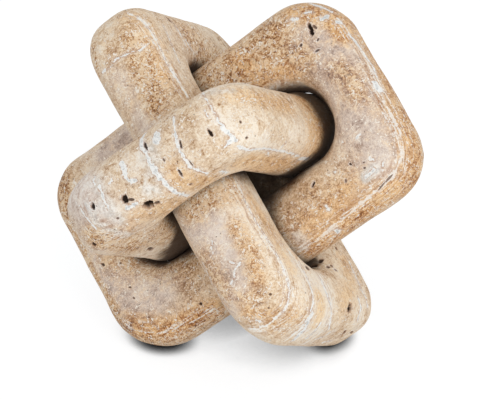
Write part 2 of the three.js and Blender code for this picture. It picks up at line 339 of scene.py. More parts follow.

# Stains by kind. Some brown ones also paint shade, as said at each, and the last kind is painted
# shade alone. Each is strongest along its pixels, and fades over its radius.
Zone = namedtuple("Zone", "radius strength path")
ZONES = {
    "oxide": {
        "brown bar by the upper lobe": Zone(13, 0.75, ((205, 78), (240, 62), (262, 42))),
        "brown stain over the hole": Zone(8, 0.55, ((268, 66), (285, 62), (298, 60))),
        "orange top corner": Zone(5, 0.95, ((300, 10), (318, 8), (332, 16), (343, 30))),
        "orange spot by the hole": Zone(3, 0.6, ((256, 84), (262, 84))),
        "brown spot in the pink": Zone(6, 0.45, ((340, 70), (350, 80), (356, 92))),
        "tan outer edge": Zone(6, 0.5, ((352, 20), (400, 95), (418, 150), (412, 184))),
        "tan lower edge": Zone(5, 0.6, ((402, 185), (372, 209), (345, 229), (318, 248))),
        "brown inner lower bar": Zone(8, 0.3, ((292, 222), (318, 200), (345, 178))),
        # The next two are brown stain and painted shade: under the end where it hangs over the
        # face link, and along the face link's lower left edge
        "brown under the end": Zone(7, 0.45, ((110, 258), (150, 268), (195, 262))),
        "brown lower left edge": Zone(6, 1.2, ((130, 338), (165, 341), (215, 318))),
        "brown behind the arm": Zone(7, 0.5, ((205, 262), (222, 290), (215, 300))),
        # Brown stain and painted shade on the end's lower flank, which faces down
        "brown flank of the end": Zone(7, 1.3, ((100, 240), (140, 242), (180, 226))),
        "tan top of the front": Zone(5, 0.4, ((230, 92), (265, 100), (290, 108))),
        "tan right end": Zone(8, 0.45, ((306, 102), (322, 120), (320, 145))),
        "brown streak of the lobe": Zone(6, 0.85, ((134, 45), (146, 75), (154, 104))),
        "tan left of the lobe": Zone(9, 0.3, ((104, 40), (112, 72), (128, 105))),
        # Brown tint and painted shade on the lobe's far side, shut in by the face link
        "tan far side of the lobe": Zone(8, 0.35, ((175, 30), (195, 50), (215, 60))),
        "brown head of the arm": Zone(6, 1.3, ((192, 205), (206, 192), (226, 188))),
        "brown streak of the arm": Zone(4, 0.6, ((236, 226), (250, 250), (257, 280))),
        "brown spot of the arm": Zone(4, 0.55, ((240, 300), (258, 296))),
        "tan foot of the arm": Zone(6, 0.45, ((250, 312), (280, 330), (305, 318))),
        "tan lower right": Zone(6, 0.2, ((338, 332), (330, 340))),
        # The next two are brown stain and partly painted shade, where these edges turn away from
        # the light
        "brown left edge of the lobe": Zone(4, 1.3, ((91, 55), (97, 80), (109, 105), (121, 132))),
        "brown left edge": Zone(4, 1.2, ((61, 178), (63, 205), (76, 242), (96, 282), (115, 315))),
        "brown band of the lobe": Zone(4, 0.7, ((126, 34), (140, 42), (152, 60))),
        # Brown stain and painted shade on the lobe's far side, darker towards the crease
        "brown behind the lobe": Zone(9, 0.9, ((188, 34), (204, 50), (212, 58), (198, 64))),
    },
    "blush": {
        "pink right bar": Zone(10, 0.9, ((312, 48), (332, 62), (345, 82), (352, 104))),
        "pink lower right": Zone(11, 0.7, ((352, 120), (372, 138), (384, 155), (370, 170))),
        "pink lower left": Zone(12, 0.85, ((95, 270), (120, 290), (150, 285))),
        "pink left end": Zone(11, 0.6, ((66, 180), (88, 215), (110, 240))),
        "purple stain above the end": Zone(6, 0.9, ((108, 150), (120, 142), (128, 136))),
        "pink middle of the lobe": Zone(8, 0.5, ((122, 82), (136, 104), (146, 122))),
        "pink arm": Zone(8, 1.0, ((196, 220), (208, 236), (222, 262))),
        "pink foot of the arm": Zone(7, 0.8, ((226, 276), (238, 290), (226, 300))),
    },
    "cream": {
        "cream on the lower bar": Zone(8, 0.6, ((325, 192), (345, 190), (362, 182))),
        "cream front": Zone(8, 1.0, ((232, 108), (245, 130), (258, 142))),
        "cream back": Zone(11, 0.6, ((262, 112), (285, 118), (300, 140))),
        "cream tip of the lobe": Zone(8, 0.35, ((112, 24), (130, 20), (150, 40))),
        "cream stripe of the arm": Zone(6, 1.0, ((234, 192), (244, 215), (262, 245))),
        "cream right of the arm's streak": Zone(5, 0.6, ((262, 245), (276, 275), (274, 300))),
        "cream of the arm's side": Zone(6, 0.7, ((252, 190), (280, 235), (300, 270))),
        "cream of the right end": Zone(12, 1.7, ((300, 270), (325, 290), (320, 325))),
        "cream far right": Zone(8, 0.8, ((340, 270), (356, 290), (356, 320))),
        "cream between the lines": Zone(4, 0.5, ((296, 268), (302, 290), (300, 312))),
        "cream of the cross link": Zone(9, 0.4, ((190, 100), (225, 100), (300, 120))),
        "pale patch of the lobe": Zone(5, 0.6, ((104, 52), (110, 42), (118, 48))),
        "pale right half of the lobe": Zone(6, 0.7, ((146, 38), (154, 56), (164, 80))),
        "pale foot of the lobe": Zone(8, 0.5, ((118, 90), (132, 112), (148, 118))),
        "cream left of the end": Zone(7, 0.5, ((312, 100), (300, 130), (306, 148))),
    },
    "ochre": {
        "gold between the lines": Zone(3, 0.9, ((320, 296), (323, 308), (318, 324))),
        "gold top corner": Zone(6, 1.0, ((300, 10), (318, 8), (332, 16), (343, 30))),
        "gold outer edge": Zone(7, 1.1, ((352, 20), (396, 95), (414, 150), (410, 184))),
        "gold lower edge": Zone(6, 1.1, ((402, 185), (372, 209), (345, 229), (318, 248))),
        "gold lower bar": Zone(7, 0.8, ((318, 228), (345, 208), (368, 190))),
        "gold right end": Zone(8, 1.0, ((306, 102), (318, 122), (316, 145))),
        "gold top of the front": Zone(5, 0.6, ((230, 92), (265, 98), (290, 106))),
        "gold lower flank": Zone(6, 0.7, ((245, 162), (275, 166), (300, 166))),
        "gold below the veins": Zone(6, 0.7, ((168, 178), (185, 184), (205, 182))),
        "gold of the left end": Zone(8, 0.5, ((130, 222), (145, 215), (170, 208))),
        "gold streak of the arm": Zone(5, 0.3, ((236, 226), (250, 250), (257, 280))),
        "gold right of the arm's line": Zone(4, 0.5, ((252, 200), (270, 228), (292, 268))),
        "gold foot": Zone(5, 0.4, ((248, 310), (268, 318), (290, 316))),
        "gold of the lobe": Zone(6, 0.4, ((128, 16), (146, 24), (158, 46), (166, 74))),
        "gold lower left edge": Zone(5, 0.8, ((135, 326), (170, 330), (215, 308))),
        "gold over the hole": Zone(5, 0.5, ((240, 60), (260, 78), (290, 74))),
        "gold right of the gap": Zone(6, 0.5, ((345, 262), (352, 285), (345, 300))),
    },
    "ash": {
        "grey wall of the hole": Zone(3, 0.4, ((272, 87), (285, 84), (300, 86), (311, 91))),
        "grey haze by the veins": Zone(6, 0.5, ((148, 150), (158, 182), (150, 190))),
        "veil on top of the cross link": Zone(4, 0.4, ((205, 94), (218, 90), (232, 90))),
        "grey haze on the left end": Zone(5, 0.5, ((96, 184), (104, 205), (118, 222))),
        "grey haze on the end's edge": Zone(3, 0.5, ((86, 205), (100, 226), (130, 236))),
        "grey patch on the lower bar": Zone(3, 0.75, ((374, 170), (366, 177))),
        "grey patch by the lower crossing": Zone(4, 0.5, ((296, 236), (304, 246))),
    },
    "layers": {
        "arcs of the left end": Zone(7, 0.8, ((70, 185), (88, 215), (112, 236), (150, 240))),
        "lines on the lobe's far side": Zone(8, 0.7, ((168, 25), (182, 45), (200, 60))),
        "lines of the lower left edge": Zone(4, 1.0, ((125, 325), (165, 336), (215, 312))),
        "lines of the right rim": Zone(5, 0.5, ((356, 30), (400, 100), (416, 150))),
        "lines of the lower edge": Zone(5, 0.9, ((404, 186), (372, 208), (318, 246))),
        "lines of the arm's foot": Zone(6, 0.6, ((262, 320), (300, 330), (338, 336))),
        "lines of the right end": Zone(6, 0.5, ((352, 268), (364, 300), (360, 325))),
        "strokes of the cross link": Zone(9, 0.35, ((275, 98), (300, 112), (306, 150))),
    },
    # Painted shade, not a stain: darker by the gap at the lower left, through it, and along the
    # lower edges
    "grime": {
        "dark edge over the gap": Zone(6, 0.3, ((104, 244), (130, 248), (158, 250))),
        "dark lower left edge": Zone(5, 0.47, ((140, 343), (166, 346), (198, 333))),
        "dark flank by the gap": Zone(8, 0.4, ((166, 252), (180, 244), (187, 230))),
        "dark lower side": Zone(5, 0.4, ((190, 328), (208, 318), (222, 306))),
        "dark seen through the gap": Zone(5, 0.4, ((178, 252), (186, 240), (188, 228))),
    },
}

# Where a bar is fuller than its frame node and isn't worn: how high at most, how wide, the
# share of the gap to the other links that it may take, and its path in the stone's own
# axes from the knot's middle. LEAST_GAP stays open, and a swell under LEAST_SWELL of its
# height is left out.
Swell = namedtuple("Swell", "node height radius share path")
SWELLS = {
    "cross link, upper right in the hole": Swell(CROSS, 4.5, 7, 0.8, (
        (55.9, -16.8, 2), (58.9, -13.9, 3), (61.3, -9.5, 3), (62, -5, 4), (62.2, 0, 5),
    )),
    "hole's wall, upper right": Swell(FACE, 1.5, 5, 0.2, (
        (57.2, -18.8, 3), (60.8, -16.6, 3), (64.1, -13.7, 3), (66.8, -9.3, 3), (67.8, 0, 4),
    )),
    "cross link, lower left in the hole": Swell(CROSS, 1.2, 9, 0.8, (
        (-56.4, 16.4, -3), (-50, 19.5, -7), (-44, 19.5, -9),
    )),
    "hole's wall, lower left": Swell(FACE, 0.5, 6, 0.2, (
        (-56.8, 16.9, -2.6), (-51.9, 20.2, -8), (-44, 22, -11),
    )),
}
LEAST_GAP = 0.25 * MM
LEAST_SWELL = 0.02


class Socket:
    """An output socket that takes part in Python expressions."""

    def __init__(self, tree, socket):
        self.tree = tree
        self.socket = socket

    def math(self, operation, *others):
        return self.tree.math(operation, self, *others)

    def __add__(self, other):
        return self.math("ADD", other)

    def __sub__(self, other):
        return self.math("SUBTRACT", other)

    def __rsub__(self, other):
        return self.tree.math("SUBTRACT", other, self)

    def __mul__(self, other):
        return self.math("MULTIPLY", other)

    def __truediv__(self, other):
        return self.math("DIVIDE", other)

    def __rtruediv__(self, other):
        return self.tree.math("DIVIDE", other, self)

    def __pow__(self, other):
        return self.math("POWER", other)

    def __abs__(self):
        return self.math("ABSOLUTE")

    __radd__ = __add__
    __rmul__ = __mul__

    def least(self, other):
        return self.math("MINIMUM", other)

    def most(self, other):
        return self.math("MAXIMUM", other)

    def clamp(self):
        return self.most(0.0).least(1.0)

    def rise(self, low, high):
        """A smooth step from 0 at low to 1 at high, where low may be the larger."""
        inputs = {"Value": self, "From Min": low, "From Max": high}
        return self.tree.add("ShaderNodeMapRange", {"interpolation_type": "SMOOTHSTEP"}, inputs)


class Tree:
    """Builds nodes in a node tree. One method makes any node."""

    def __init__(self, node_tree):
        self.nodes = node_tree.nodes
        self.links = node_tree.links

    @staticmethod
    def pick(sockets, key):
        """The socket at a number, or the one of that name that the node's settings turn on."""
        if isinstance(key, int):
            return sockets[key]
        return next(found for found in sockets if found.enabled and found.name == key)

    def node(self, kind, settings=None, inputs=None):
        made = self.nodes.new(kind)
        for name, value in (settings or {}).items():
            setattr(made, name, value)
        for key, value in (inputs or {}).items():
            entry = self.pick(made.inputs, key)
            if isinstance(value, Socket):
                self.links.new(value.socket, entry)
            else:
                entry.default_value = value
        return made

    def add(self, kind, settings=None, inputs=None, output=0):
        """A node's output: the one at a number, or the one of that name."""
        made = self.node(kind, settings, inputs)
        return Socket(self, self.pick(made.outputs, output))

    def math(self, operation, *values):
        return self.add("ShaderNodeMath", {"operation": operation}, dict(enumerate(values)))

    def vector(self, operation, first, second, output="Vector"):
        key = "Scale" if operation == "SCALE" else 1
        inputs = {0: first, key: second}
        return self.add("ShaderNodeVectorMath", {"operation": operation}, inputs, output)

    def noise(self, vector, scale, detail=2.0, roughness=0.5, distortion=0.0):
        inputs = {
            "Vector": vector,
            "Scale": scale,
            "Detail": detail,
            "Roughness": roughness,
            "Distortion": distortion,
        }
        return self.add("ShaderNodeTexNoise", {"noise_dimensions": "3D"}, inputs)

    def ramp(self, value, places, colours):
        """Colours for a value, through screen colours at rising places from 0 to 1."""
        made = self.node("ShaderNodeValToRGB", None, {0: value})
        elements = made.color_ramp.elements
        elements[0].position = places[0]
        elements[-1].position = places[-1]
        for place in places[1:-1]:
            elements.new(place)
        for element, colour in zip(elements, colours):
            element.color = (*srgb(*colour), 1.0)
        return Socket(self, made.outputs[0])

    def mix(self, factor, first, second, blend="MIX"):
        """Mixes two colours. Sockets 6 and 7 are the Mix node's colours, and output 2."""
        settings = {"data_type": "RGBA", "blend_type": blend}
        return self.add("ShaderNodeMix", settings, {0: factor, 6: first, 7: second}, 2)


def empty_tree(holder):
    """The node tree of a new material or world, without its default nodes."""
    holder.use_nodes = True
    holder.node_tree.nodes.clear()
    return Tree(holder.node_tree)


def swing(noise, width):
    """A noise around 0.5 as a swing of a width around 0."""
    return (noise - 0.5) * width


def frame_mesh(node):
    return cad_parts[node].data


def mesh_points(mesh):
    points = np.empty(len(mesh.vertices) * 3)
    mesh.vertices.foreach_get("co", points)
    return points.reshape(-1, 3)


def mesh_tree(mesh):
    corners = [vertex.co.copy() for vertex in mesh.vertices]
    return BVHTree.FromPolygons(corners, [tuple(face.vertices) for face in mesh.polygons])


def flat_normal(node):
    """The direction of a link's thickness: the one that most of its area faces, fore or aft."""
    areas = {}
    for face in frame_mesh(node).polygons:
        key = tuple(round(abs(part), 2) for part in face.normal)
        area, _normal = areas.get(key, (0.0, None))
        areas[key] = (area + face.area, face.normal.copy())
    return max(areas.values(), key=lambda found: found[0])[1]


def stone_axes():
    """The knot's own directions: the thicknesses of the upright, cross and face links."""
    length = flat_normal(UPRIGHT)
    bedding = flat_normal(FACE)
    if length.x < 0:
        length.negate()
    if bedding.y < 0:
        bedding.negate()
    return length, bedding.cross(length), bedding


def knot_middle():
    """Where the middles of the links' thicknesses meet."""
    middle = Vector()
    for node, axis in zip((UPRIGHT, CROSS, FACE), stone_axes()):
        heights = mesh_points(frame_mesh(node)) @ np.array(axis)
        middle += axis * float(heights.min() + heights.max()) / 2
    return middle


def stone_place(parts):
    """The point at the given distances along the stone's axes, in millimetres."""
    place = knot_middle()
    for part, axis in zip(parts, stone_axes()):
        place += axis * part * MM
    return place


def camera_turn():
    tilt = Matrix.Rotation(math.pi / 2 - CAMERA_DROP, 3, "X")
    return tilt @ Matrix.Rotation(CAMERA_ROLL, 3, "Z")


class Sight:
    """Looks from the camera through a pixel of the photograph at the frame's nodes."""

    def __init__(self):
        self.trees = {node: mesh_tree(frame_mesh(node)) for node in SLOTS}
        self.turn = camera_turn()
        self.place = Vector(CAMERA_PLACE)

    def at(self, x, y):
        """The node and the point that show at a pixel, or None where no stone shows."""
        across = (x - PICTURE[0] / 2) * PIXEL
        up = (PICTURE[1] / 2 - y) * PIXEL
        ray = (self.turn @ Vector((across, up, -LENS))).normalized()
        hits = []
        for node, tree in self.trees.items():
            point, _normal, _face, distance = tree.ray_cast(self.place, ray)
            if point is not None:
                hits.append((distance, node, point))
        if not hits:
            return None
        _distance, node, point = min(hits, key=lambda hit: hit[0])
        return node, point

    def path(self, pixels):
        """The node that most of the pixels show, and the points that they show on it."""
        found = [hit for hit in (self.at(*pixel) for pixel in pixels) if hit]
        if not found:
            raise ValueError(f"no stone shows along the path from pixel {pixels[0]}")
        shown = [node for node, _point in found]
        most = max(shown, key=shown.count)
        return most, [point for node, point in found if node == most]


def dense(pixels):
    """The points of a path, with more between those that lie far apart."""
    filled = [pixels[0]]
    for start, end in zip(pixels, pixels[1:]):
        steps = max(1, round(math.dist(start, end) / PATH_STEP_PX))
        for step in range(1, steps + 1):
            share = step / steps
            filled.append(tuple(a + share * (b - a) for a, b in zip(start, end)))
    return filled


def paths_on(sight, node, marks):
    """Each mark that the photograph shows on a node, with its path on the stone."""
    found = []
    for made in marks.values():
        where, path = sight.path(dense(made.path))
        if where == node:
            found.append((made, path))
    return found


def distance_to_path(points, path):
    """How far each point is from a path of straight stretches, in metres."""
    nearest = np.linalg.norm(points - np.array(path[0]), axis=1)
    for start, end in zip(path, path[1:]):
        start = np.array(start)
        run = np.array(end) - start
        share = np.clip((points - start) @ run / max(run @ run, 1e-12), 0, 1)
        gap = np.linalg.norm(points - start - share[:, None] * run, axis=1)
        nearest = np.minimum(nearest, gap)
    return nearest


def fading(distances, reach):
    """1 at no distance, and less and less further off."""
    return np.exp(-0.5 * (distances / reach) ** 2)


def length(name, description, millimetres):
    return bpy.props.FloatProperty(
        name=name, description=description, default=millimetres * MM, unit="LENGTH"
    )


def power(name, description, watts):
    return bpy.props.FloatProperty(
        name=name, description=description, default=watts, unit="POWER"
    )


def srgb(red, green, blue):
    """A colour given as it looks on a screen, 0 to 255, as linear values."""
    shares = (value / 255 for value in (red, green, blue))
    return tuple(v / 12.92 if v <= 0.04045 else ((v + 0.055) / 1.055) ** 2.4 for v in shares)


def colour(name, description, screen_colour):
    return bpy.props.FloatVectorProperty(
        name=name,
        description=description,
        subtype="COLOR",
        size=3,
        min=0,
        max=1,
        default=srgb(*screen_colour),
    )


class StoneWear(bpy.types.PropertyGroup):
    """How finely the links are divided, and how worn and pitted they are."""

    grid: length("Grid", "Spacing of the surface's points", 1.26)
    evening: bpy.props.IntProperty(
        name="Evening", description="Passes that even out the frame's facets", default=14, min=1
    )
    depth: length("Wear depth", "Deepest hand-worn hollow", 0.5)
    span: length("Wear span", "Width of the worn hollows", 24)
    relief: length("Bed relief", "How far soft beds lie back", 0.16)
    hidden_pits: bpy.props.IntProperty(
        name="Hidden pits", description="Pits on each link's unseen sides", default=70, min=0
    )
    pit_margin: length("Pit margin", "Finer grid around each pit and fill", 1.1)


class StoneColours(bpy.types.PropertyGroup):
    """Colours of the marks in the stone, and of the painted shade in the pits and deep between the
    links. Those of the stone itself go with its tones.
    """

    calcite: colour("Calcite", "White veins and fills", (238, 238, 235))
    ash: colour("Ash", "Grey streaks in the calcite", (178, 180, 180))
    fleck: colour("Fleck", "Small pale flecks", (243, 236, 224))
    lump: colour("Lump", "Pale lumps in the brown stone", (228, 203, 170))
    ochre: colour("Ochre", "Tint of the orange stains", (254, 226, 180))
    rust: colour("Rust", "Thin brown worms and rims", (160, 104, 58))
    # Painted shade inside the pits, darker in deeper ones
    hollow: colour("Hollow", "Inside the pits", (38, 24, 15))
    # Painted shade, deep between the links and where its zones put it
    grime: colour("Painted shade", "Deep between the links", (58, 40, 27))


class StageSettings(bpy.types.PropertyGroup):
    """The lamps and the floor."""

    floor: length("Floor", "Side of the floor", 6000)
    key: power("Key", "Right lamp", 4.0)
    fill: power("Fill", "Front lamp", 2.5)
    sky: bpy.props.FloatProperty(
        name="Sky",
        description="Light from all round",
        subtype="FACTOR",
        min=0,
        max=1,
        default=0.78,
    )


def join_copy(node):
    """A copy of a frame node's mesh with its loose triangles joined."""
    mesh = frame_mesh(node).copy()
    shape = bmesh.new()
    shape.from_mesh(mesh)
    bmesh.ops.remove_doubles(shape, verts=shape.verts, dist=0.001 * MM)
    shape.to_mesh(mesh)
    shape.free()
    mesh.materials.clear()
    return mesh


def joined_solids():
    """The three frame nodes as one mesh, for the crevices to be found with."""
    shape = bmesh.new()
    for node in SLOTS:
        shape.from_mesh(frame_mesh(node))
    mesh = bpy.data.meshes.new("solids")
    shape.to_mesh(mesh)
    shape.free()
    solids = bpy.data.objects.new("solids", mesh)
    bpy.context.collection.objects.link(solids)
    return solids


def make_plain(piece):
    """Turns what a piece's modifiers make of it into its plain mesh, and removes them."""
    graph = bpy.context.evaluated_depsgraph_get()
    graph.update()
    piece.data = bpy.data.meshes.new_from_object(
        piece.evaluated_get(graph), preserve_all_data_layers=True, depsgraph=graph
    )
    piece.modifiers.clear()


def new_geometry_tree(name, sockets):
    """An empty geometry node group with named inputs of the given kinds."""
    group = bpy.data.node_groups.new(name, "GeometryNodeTree")
    face = group.interface
    face.new_socket("Geometry", in_out="INPUT", socket_type="NodeSocketGeometry")
    for label, kind in sockets.items():
        face.new_socket(label, in_out="INPUT", socket_type=kind)
    face.new_socket("Geometry", in_out="OUTPUT", socket_type="NodeSocketGeometry")
    tree = Tree(group)
    start = tree.node("NodeGroupInput")
    given = {output.name: Socket(tree, output) for output in start.outputs if output.name}
    return group, tree, given


def end_tree(tree, geometry, material):
    real = tree.add("GeometryNodeRealizeInstances", None, {"Geometry": geometry})
    dressed = tree.add("GeometryNodeSetMaterial", None, {"Geometry": real, "Material": material})
    tree.node("NodeGroupOutput", None, {"Geometry": dressed})


def use_tree(piece, group, values):
    """Adds a node group to a piece as a modifier, its inputs set by socket identifier."""
    modifier = piece.modifiers.new(group.name, "NODES")
    modifier.node_group = group
    for item in group.interface.items_tree:
        if item.in_out == "INPUT" and item.name in values:
            modifier[item.identifier] = values[item.name]


def evening_tree():
    """Evens out facets: blurs the points, then gives back what the blur drew in."""
    sockets = {"Passes": "NodeSocketInt", "Material": "NodeSocketMaterial"}
    group, tree, given = new_geometry_tree("Even surface", sockets)

    def blurred(value):
        inputs = {"Value": value, "Iterations": given["Passes"]}
        settings = {"data_type": "FLOAT_VECTOR"}
        return tree.add("GeometryNodeBlurAttribute", settings, inputs, "Value")

    soft = blurred(tree.add("GeometryNodeInputPosition"))
    full = tree.vector("SUBTRACT", tree.vector("SCALE", soft, 2.0), blurred(soft))
    parts = [tree.add("ShaderNodeSeparateXYZ", None, {0: full}, part) for part in range(3)]
    above_floor = {0: parts[0], 1: parts[1], 2: parts[2].most(0.0)}
    rested = tree.add("ShaderNodeCombineXYZ", None, above_floor)
    inputs = {"Geometry": given["Geometry"], "Position": rested}
    end_tree(tree, tree.add("GeometryNodeSetPosition", None, inputs), given["Material"])
    return group


def read_named(tree, name, kind="FLOAT"):
    settings = {"data_type": kind}
    return tree.add("GeometryNodeInputNamedAttribute", settings, {"Name": name}, "Attribute")


def weathering_tree():
    """Wears a link down, lays its soft beds back and sinks its pits."""
    sockets = {
        "Pits": "NodeSocketObject",
        "Solids": "NodeSocketObject",
        "Wear depth": "NodeSocketFloat",
        "Wear span": "NodeSocketFloat",
        "Bed relief": "NodeSocketFloat",
        "Bedding": "NodeSocketVector",
        "Floor rise": "NodeSocketFloat",
        "Seed": "NodeSocketFloat",
        "Material": "NodeSocketMaterial",
    }
    group, tree, given = new_geometry_tree("Weathered stone", sockets)
    place = tree.add("GeometryNodeInputPosition")
    outward = tree.add("GeometryNodeInputNormal")
    height = tree.add("ShaderNodeSeparateXYZ", None, {0: place}, "Z")
    floor_share = (height / given["Floor rise"]).clamp()

    shifted = tree.vector("ADD", place, given["Seed"])
    spans = tree.vector("SCALE", shifted, 1.0 / given["Wear span"])
    wear = tree.noise(spans, 1.0, 1.5, 0.45).rise(*HOLLOWS)
    across = tree.vector("DOT_PRODUCT", place, given["Bedding"], "Value")
    stretch = tree.vector("SCALE", given["Bedding"], across * BED_THINNESS)
    layered = tree.vector("ADD", place, stretch)
    beds = tree.noise(layered, BED_SCALE, 3.0, 0.6).rise(*SOFT_BEDS)
    worn = (wear * given["Wear depth"] + beds * given["Bed relief"]) * floor_share

    hollow, marks = pit_fields(tree, given["Pits"], place)
    marks["crevice"] = crevice_field(tree, given["Solids"], place, outward)
    shape = given["Geometry"]
    for name, value in marks.items():
        inputs = {"Geometry": shape, "Name": name, "Value": value}
        shape = tree.add("GeometryNodeStoreNamedAttribute", {"data_type": "FLOAT"}, inputs)
    raised = read_named(tree, "swell") - worn * (1.0 - read_named(tree, "kept")) - hollow
    offset = tree.vector("SCALE", outward, raised)
    moved = tree.add("GeometryNodeSetPosition", None, {"Geometry": shape, "Offset": offset})
    end_tree(tree, moved, given["Material"])
    return group


def crevice_field(tree, solids, place, outward):
    """How much of what a point faces is other stone, from 0 in the open to 1 deep in a gap."""
    target = tree.add("GeometryNodeObjectInfo", None, {"Object": solids}, "Geometry")
    start = tree.vector("ADD", place, tree.vector("SCALE", outward, CREVICE_START))
    faced = 0.0
    blocked = 0.0
    for index in range(CREVICE_RAYS):
        level = 1 - 2 * (index + 0.5) / CREVICE_RAYS
        across = math.sqrt(1 - level * level)
        turn = index * GOLDEN_ANGLE
        way = (across * math.cos(turn), across * math.sin(turn), level)
        share = tree.vector("DOT_PRODUCT", outward, way, "Value").most(0.0)
        inputs = {
            "Target Geometry": target,
            "Source Position": start,
            "Ray Direction": way,
            "Ray Length": CREVICE_REACH,
        }
        hit = tree.add("GeometryNodeRaycast", None, inputs, "Is Hit")
        faced = share + faced
        blocked = hit * share + blocked
    inputs = {"Value": blocked / faced, "Iterations": CREVICE_BLUR}
    return tree.add("GeometryNodeBlurAttribute", {"data_type": "FLOAT"}, inputs, "Value")


def pit_fields(tree, pits, place):
    """Depth of the nearest pit's hollow, and the marks of it that the material reads."""
    cloud = tree.add("GeometryNodeObjectInfo", None, {"Object": pits}, "Geometry")
    nearest = tree.add("GeometryNodeSampleNearest", None, {"Geometry": cloud})

    def of_pit(value, kind="FLOAT"):
        inputs = {"Geometry": cloud, "Value": value, "Index": nearest}
        return tree.add("GeometryNodeSampleIndex", {"data_type": kind}, inputs)

    middle = of_pit(tree.add("GeometryNodeInputPosition"), "FLOAT_VECTOR")
    axis = of_pit(read_named(tree, "axis", "FLOAT_VECTOR"), "FLOAT_VECTOR")
    long, wide, depth, rim = (
        of_pit(read_named(tree, name)) for name in ("long", "wide", "depth", "rim")
    )
    away = tree.vector("SUBTRACT", place, middle)
    along = tree.vector("DOT_PRODUCT", away, axis, "Value")
    square = tree.vector("DOT_PRODUCT", away, away, "Value")
    beside = (square - along * along).most(0.0)
    reach = ((along / long) ** 2.0 + beside / (wide * wide)) ** 0.5
    for scale, width in PIT_EDGES:
        reach = reach + swing(tree.noise(place, scale, 1.0), width)
    hollow = reach.rise(*PIT_WALL) * depth
    # How dark the painted shade in a pit is, by its depth
    dark = (depth / MM).rise(0.5, 2.0) * 0.5 + 0.48
    return hollow, {"pit_reach": reach.least(4.0), "pit_rim": rim, "pit_dark": dark}


def pit_cloud(name, pits):
    """Loose points with each pit's sizes, for the weathering tree to find."""
    mesh = bpy.data.meshes.new(name)
    mesh.from_pydata([pit["place"] for pit in pits], [], [])
    for key in ("long", "wide", "depth", "rim"):
        layer = mesh.attributes.new(key, "FLOAT", "POINT")
        layer.data.foreach_set("value", [pit[key] for pit in pits])
    axes = mesh.attributes.new("axis", "FLOAT_VECTOR", "POINT")
    axes.data.foreach_set("vector", [part for pit in pits for part in pit["axis"]])
    cloud = bpy.data.objects.new(name, mesh)
    bpy.context.collection.objects.link(cloud)
    return cloud


def run_on_stone(sight, node, place, pit, turn):
    """The way on the stone under a way in the picture, and how far the slope draws it out."""
    across, down = math.cos(turn) * AXIS_STEP_PX, math.sin(turn) * AXIS_STEP_PX
    looks = (sight.at(pit.x + across, pit.y + down), sight.at(pit.x - across, pit.y - down))
    ends = [look[1] for look in looks if look and look[0] == node]
    way = ends[0] - (ends[1] if len(ends) > 1 else place)
    facing = AXIS_STEP_PX * len(ends) * PIXEL * (place - sight.place).length / LENS
    return way.normalized(), min(way.length / facing, MOST_DRAWN)


def seen_pits(sight, node):
    """The pits that the photograph shows on a node, each turned as it lies in the picture."""
    pits = []
    for pit in PITS.values():
        where, place = sight.at(pit.x, pit.y) or (None, None)
        if where != node:
            continue
        turn = math.radians(pit.turn)
        axis, along = run_on_stone(sight, node, place, pit, turn)
        _side, beside = run_on_stone(sight, node, place, pit, turn + math.pi / 2)
        sizes = {"long": pit.long * along * MM, "wide": pit.wide * beside * MM}
        row = {"place": place, "axis": axis, "rim": pit.rim, "depth": pit.depth * MM}
        pits.append({**row, **sizes})
    return pits


def hidden_pits(mesh, count, bedding, seed):
    """Pits strewn over the sides that the camera doesn't see, drawn out along the bedding."""
    chance = np.random.default_rng(seed)
    areas = np.array([face.area for face in mesh.polygons])
    picks = chance.choice(len(areas), size=count * PICKS_PER_PIT, p=areas / areas.sum())
    pits = []
    for pick in picks:
        face = mesh.polygons[int(pick)]
        to_camera = (Vector(CAMERA_PLACE) - face.center).normalized()
        if face.normal.dot(to_camera) > TURNED_AWAY or face.center.z < HIDDEN_FLOOR:
            continue
        size = LEAST_PIT * (LARGEST_PIT / LEAST_PIT) ** (chance.random() ** SMALL_PITS)
        axis = face.normal.cross(bedding)
        if axis.length < LEAST_AXIS:
            axis = face.normal.orthogonal()
        wide = size * chance.uniform(*PIT_WIDTHS)
        depth = wide * chance.uniform(*PIT_DEPTHS)
        rim = chance.uniform(*PIT_RIMS)
        row = {"place": face.center.copy(), "axis": axis.normalized(), "long": size}
        pits.append({**row, "wide": wide, "depth": depth, "rim": rim})
        if len(pits) == count:
            break
    return pits


def refine(mesh, pits, lines, margin):
    """Divides the faces around each pit and fine line, so that its edge is crisp."""
    points = mesh_points(mesh)
    near = np.zeros(len(points), bool)
    for pit in pits:
        reach = max(pit["long"], pit["wide"]) + margin
        near |= np.linalg.norm(points - np.array(pit["place"]), axis=1) < reach
    for half_width, path in lines:
        near |= distance_to_path(points, path) < half_width + margin
    shape = bmesh.new()
    shape.from_mesh(mesh)
    faces = [face for face in shape.faces if any(near[vert.index] for vert in face.verts)]
    edges = list({edge for face in faces for edge in face.edges})
    bmesh.ops.subdivide_edges(shape, edges=edges, cuts=FINE_CUTS, use_grid_fill=True)
    shape.to_mesh(mesh)
    shape.free()


def strongest(points, zones):
    """The strongest of a kind of zone at each point, fading with distance."""
    strength = np.zeros(len(points))
    for made, path in zones:
        near = fading(distance_to_path(points, path), made.radius * MM)
        strength = np.maximum(strength, made.strength * near)
    return strength


def bed_marks(points, lines):
    """How far the beds rise at each point, and how near it is to a bed that shows."""
    middle, bedding = knot_middle(), stone_axes()[2]
    weights = np.full(len(points), LIFT_LEVEL)
    lifts = np.zeros(len(points))
    nearness = np.zeros(len(points))
    for line, path in lines:
        for spot in path:
            lift = (spot - middle).dot(bedding) / MM - line.height
            weight = fading(np.linalg.norm(points - np.array(spot), axis=1), LIFT_REACH)
            weights += weight
            lifts += weight * lift
        near = fading(distance_to_path(points, path), VEIN_REACH)
        nearness = np.maximum(nearness, near)
    return lifts / weights, nearness


